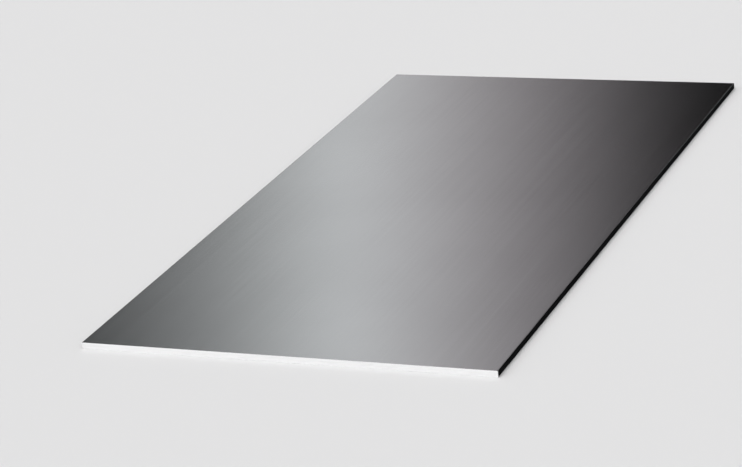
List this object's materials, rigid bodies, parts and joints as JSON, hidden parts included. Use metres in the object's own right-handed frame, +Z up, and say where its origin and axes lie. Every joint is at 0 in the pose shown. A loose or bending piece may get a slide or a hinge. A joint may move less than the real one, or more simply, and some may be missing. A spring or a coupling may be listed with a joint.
{
  "type": "steel plate",
  "caption": "Flat rectangular hot-rolled steel plate with smooth broad faces, slightly rounded long edges and square sheared ends, stock for cutting, welding or load spreading.",
  "frame": {"origin": "middle of the underside, on the floor that the plate lies on", "axes": "+X across the plate, +Y along its rolling direction and its longest side, +Z up through its thickness"},
  "size_m": [1, 2, 0.015],
  "materials": {
    "steel": "satin"
  },
  "bodies": {
    "root": {"plate": "steel"}
  },
  "joints": []
}
